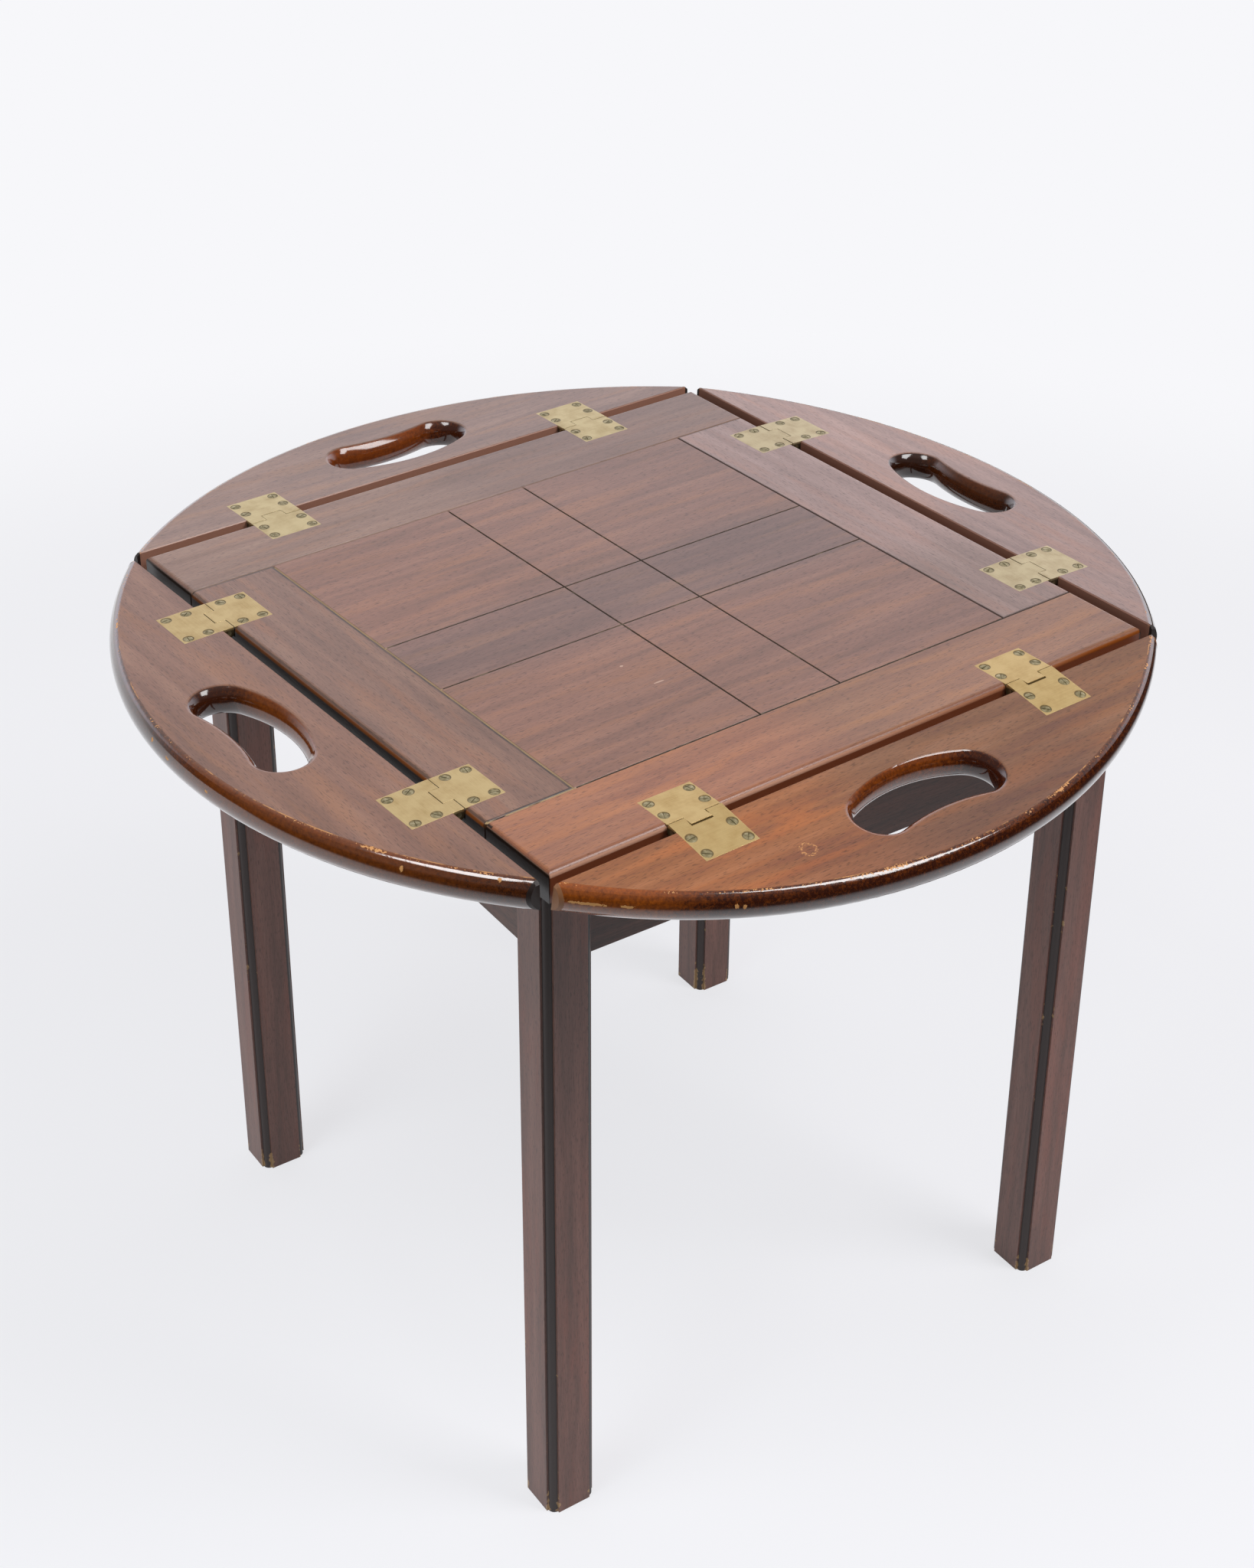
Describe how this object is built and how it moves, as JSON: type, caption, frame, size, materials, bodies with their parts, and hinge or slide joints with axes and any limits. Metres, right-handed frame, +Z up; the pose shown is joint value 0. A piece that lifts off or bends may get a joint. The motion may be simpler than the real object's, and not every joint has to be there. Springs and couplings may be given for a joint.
{
  "type": "butlers tray table",
  "caption": "Butler's tray table: a square framed tray with hinged leaves that make it round, each with a hand hole, lifting off a stand with beaded legs.",
  "frame": {"origin": "on the floor, under the centre of the square tray", "axes": "+Z up, +X along the tray's two long rails, -Y the front, where one leaf hangs lowest"},
  "size_m": [0.6694, 0.6676, 0.5205],
  "materials": {
    "mahogany": "stained mahogany under a worn satin lacquer",
    "brass": "brushed, lightly aged",
    "dull_brass": "tarnished"
  },
  "bodies": {
    "stand": {"apron_back": "mahogany", "apron_front": "mahogany", "apron_left": "mahogany", "apron_right": "mahogany", "leg_back_left": "mahogany", "leg_back_right": "mahogany", "leg_front_left": "mahogany", "leg_front_right": "mahogany"},
    "tray": {"hinge_back_a_pin": "dull_brass", "hinge_back_a_tray_plate": "brass", "hinge_back_b_pin": "dull_brass", "hinge_back_b_tray_plate": "brass", "hinge_front_a_pin": "dull_brass", "hinge_front_a_tray_plate": "brass", "hinge_front_b_pin": "dull_brass", "hinge_front_b_tray_plate": "brass", "hinge_left_a_pin": "dull_brass", "hinge_left_a_tray_plate": "brass", "hinge_left_b_pin": "dull_brass", "hinge_left_b_tray_plate": "brass", "hinge_right_a_pin": "dull_brass", "hinge_right_a_tray_plate": "brass", "hinge_right_b_pin": "dull_brass", "hinge_right_b_tray_plate": "brass", "tray_panel": "mahogany", "tray_rail_back": "mahogany", "tray_rail_front": "mahogany", "tray_rail_left": "mahogany", "tray_rail_right": "mahogany", "tray_screws": "dull_brass"},
    "back_leaf": {"hinge_back_a_leaf_plate": "brass", "hinge_back_b_leaf_plate": "brass", "leaf_back": "mahogany", "leaf_back_screws": "dull_brass"},
    "left_leaf": {"hinge_left_a_leaf_plate": "brass", "hinge_left_b_leaf_plate": "brass", "leaf_left": "mahogany", "leaf_left_screws": "dull_brass"},
    "front_leaf": {"hinge_front_a_leaf_plate": "brass", "hinge_front_b_leaf_plate": "brass", "leaf_front": "mahogany", "leaf_front_screws": "dull_brass"},
    "right_leaf": {"hinge_right_a_leaf_plate": "brass", "hinge_right_b_leaf_plate": "brass", "leaf_right": "mahogany", "leaf_right_screws": "dull_brass"}
  },
  "joints": [
    {"name": "tray_lift", "type": "slide", "parent": "stand", "child": "tray", "axis": [0, 0, 1], "range_m": [0, 0.1]},
    {"name": "back_leaf_fold", "type": "hinge", "parent": "tray", "child": "back_leaf", "pos_m": [0, 0.2354, 0.5164], "axis": [1, 0, 0], "range_deg": [0, 91.2]},
    {"name": "left_leaf_fold", "type": "hinge", "parent": "tray", "child": "left_leaf", "pos_m": [-0.2354, 0, 0.5164], "axis": [0, 1, 0], "range_deg": [0, 91.2]},
    {"name": "front_leaf_fold", "type": "hinge", "parent": "tray", "child": "front_leaf", "pos_m": [0, -0.2354, 0.5164], "axis": [-1, 0, 0], "range_deg": [0, 99.3]},
    {"name": "right_leaf_fold", "type": "hinge", "parent": "tray", "child": "right_leaf", "pos_m": [0.2354, 0, 0.5164], "axis": [0, -1, 0], "range_deg": [0, 92.6]}
  ]
}
